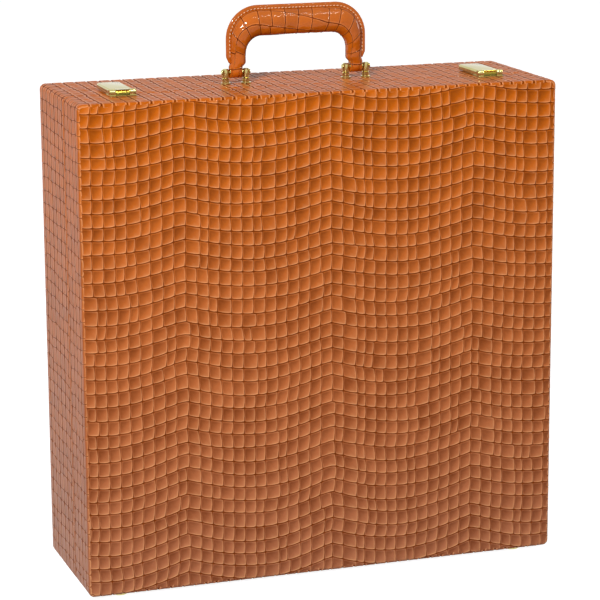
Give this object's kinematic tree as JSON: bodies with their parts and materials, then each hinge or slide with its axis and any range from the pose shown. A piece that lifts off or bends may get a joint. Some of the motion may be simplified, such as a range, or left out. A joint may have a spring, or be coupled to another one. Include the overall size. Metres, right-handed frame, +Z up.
{
  "type": "chess piece storage box",
  "caption": "Upright briefcase-style storage box for chess pieces: embossed leather over board, lever latches, hinged carrying handle and a slotted velvet-lined interior.",
  "frame": {"origin": "on the surface the case stands on, under the middle of the case", "axes": "+X to the right seen from the front, +Y to the rear, +Z up; the lid is on the -Y side"},
  "size_m": [0.42, 0.136, 0.486],
  "materials": {
    "case_leather": "gloss",
    "handle_leather": "gloss",
    "board": "matte",
    "card": "matte",
    "velvet": "matte",
    "foam": "matte",
    "brass": "polished",
    "steel": "satin"
  },
  "bodies": {
    "base": {"base_cover": "case_leather", "base_board_top": "board", "base_board_bottom": "board", "base_board_left": "board", "base_board_right": "board", "base_back_panel": "board", "base_lining": "velvet", "lining_packers": "card", "tray_underlay": "foam", "tray_floor": "velvet", "tray_frame": "velvet", "tray_rails": "velvet", "tray_dividers": "velvet", "base_feet": "brass", "hinge_1_base_leaf": "brass", "hinge_2_base_leaf": "brass", "hinge_3_base_leaf": "brass", "hinge_1_pin": "brass", "hinge_2_pin": "brass", "hinge_3_pin": "brass", "hinge_base_screws": "brass", "latch_left_keeper": "brass", "latch_right_keeper": "brass", "keeper_rivets": "brass", "handle_posts_left": "brass", "handle_posts_right": "brass", "handle_pin_left": "brass", "handle_pin_right": "brass", "handle_nuts": "steel"},
    "lid": {"lid_cover": "case_leather", "lid_board_top": "board", "lid_board_bottom": "board", "lid_board_left": "board", "lid_board_right": "board", "lid_front_panel": "board", "lid_foam_block": "foam", "lid_pad": "velvet", "lid_feet": "brass", "hinge_1_lid_leaf": "brass", "hinge_2_lid_leaf": "brass", "hinge_3_lid_leaf": "brass", "hinge_lid_screws": "brass", "latch_left_plate": "brass", "latch_right_plate": "brass", "latch_left_pin": "brass", "latch_right_pin": "brass", "latch_plate_rivets": "brass"},
    "latch_left": {"latch_left_lever": "brass"},
    "latch_right": {"latch_right_lever": "brass"},
    "handle": {"handle_leather": "handle_leather", "handle_core": "steel", "handle_bush_left": "brass", "handle_bush_right": "brass"}
  },
  "joints": [
    {"name": "lid_hinge", "type": "hinge", "parent": "base", "child": "lid", "pos_m": [0, -0.019, 0.003], "axis": [1, 0, 0], "range_deg": [0, 95]},
    {"name": "latch_left_hinge", "type": "hinge", "parent": "lid", "child": "latch_left", "pos_m": [-0.163, -0.032, 0.42365], "axis": [1, 0, 0], "range_deg": [0, 100]},
    {"name": "latch_right_hinge", "type": "hinge", "parent": "lid", "child": "latch_right", "pos_m": [0.163, -0.032, 0.42365], "axis": [1, 0, 0], "range_deg": [0, 100]},
    {"name": "handle_hinge", "type": "hinge", "parent": "base", "child": "handle", "pos_m": [0, 0.005, 0.43], "axis": [1, 0, 0], "range_deg": [-85, 85]}
  ]
}
